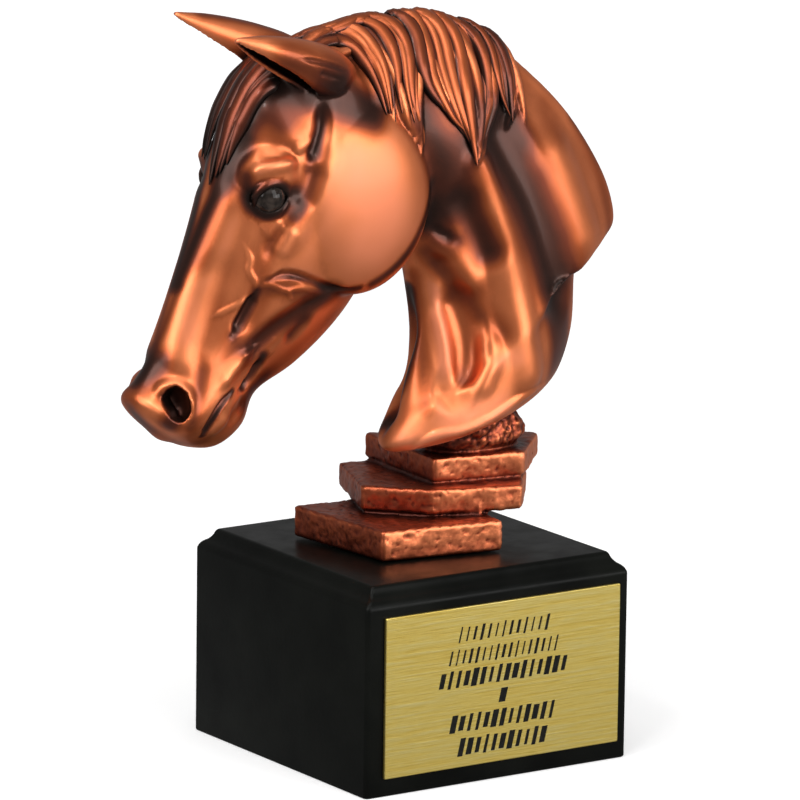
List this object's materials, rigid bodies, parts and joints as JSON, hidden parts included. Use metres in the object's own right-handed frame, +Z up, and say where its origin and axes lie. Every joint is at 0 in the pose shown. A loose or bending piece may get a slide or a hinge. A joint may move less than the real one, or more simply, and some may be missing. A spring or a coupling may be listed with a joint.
{
  "type": "horse head trophy",
  "caption": "Copper-coloured horse-head bust on stacked stone-like slabs, fixed to a square black plinth with a gold nameplate of plain strokes.",
  "frame": {"origin": "centre of the plinth's underside", "axes": "+Z up; the nameplate faces -Y; the horse looks toward -X"},
  "size_m": [0.1464, 0.0811, 0.1943],
  "materials": {
    "copper_casting": "satin copper electroplate over cast resin, dark patina in the hollows",
    "black_lacquer": "satin black lacquer",
    "gold_plate": "brushed gold-coloured metal with black-filled strokes"
  },
  "bodies": {
    "root": {"horse_bust": "copper_casting", "plinth": "black_lacquer", "nameplate": "gold_plate"}
  },
  "joints": []
}
